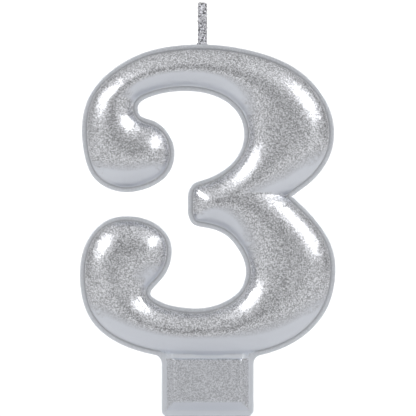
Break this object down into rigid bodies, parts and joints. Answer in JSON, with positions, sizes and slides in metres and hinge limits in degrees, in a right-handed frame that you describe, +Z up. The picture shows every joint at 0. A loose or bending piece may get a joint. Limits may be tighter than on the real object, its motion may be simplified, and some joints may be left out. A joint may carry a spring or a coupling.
{
  "type": "number birthday candle",
  "caption": "Moulded wax numeral candle with a crowned silver-lacquered body, a flat flange round its outline, a bevelled cake tab below and a short twisted wick on top.",
  "frame": {"origin": "middle of the tab's foot, at the middle of the body's thickness", "axes": "+X to the right of the numeral as it is read, +Y from the front to the back, +Z up along the wick"},
  "size_m": [0.0512, 0.0128, 0.0828],
  "materials": {
    "paraffin_wax": "smooth cast paraffin",
    "silver_lacquer": "satin metallic flake lacquer",
    "seal_wax": "poured wax",
    "primer_wax": "soaked primer wax",
    "silver_glitter": "granular silver coat",
    "cotton": "twisted cotton"
  },
  "bodies": {
    "root": {"wax_casting": "paraffin_wax", "metallic_coat": "silver_lacquer", "wick_seal": "seal_wax", "wick_primer_wax": "primer_wax", "wick_silver_coat": "silver_glitter", "wick_ply_1": "cotton", "wick_ply_2": "cotton", "wick_ply_3": "cotton"}
  },
  "joints": []
}
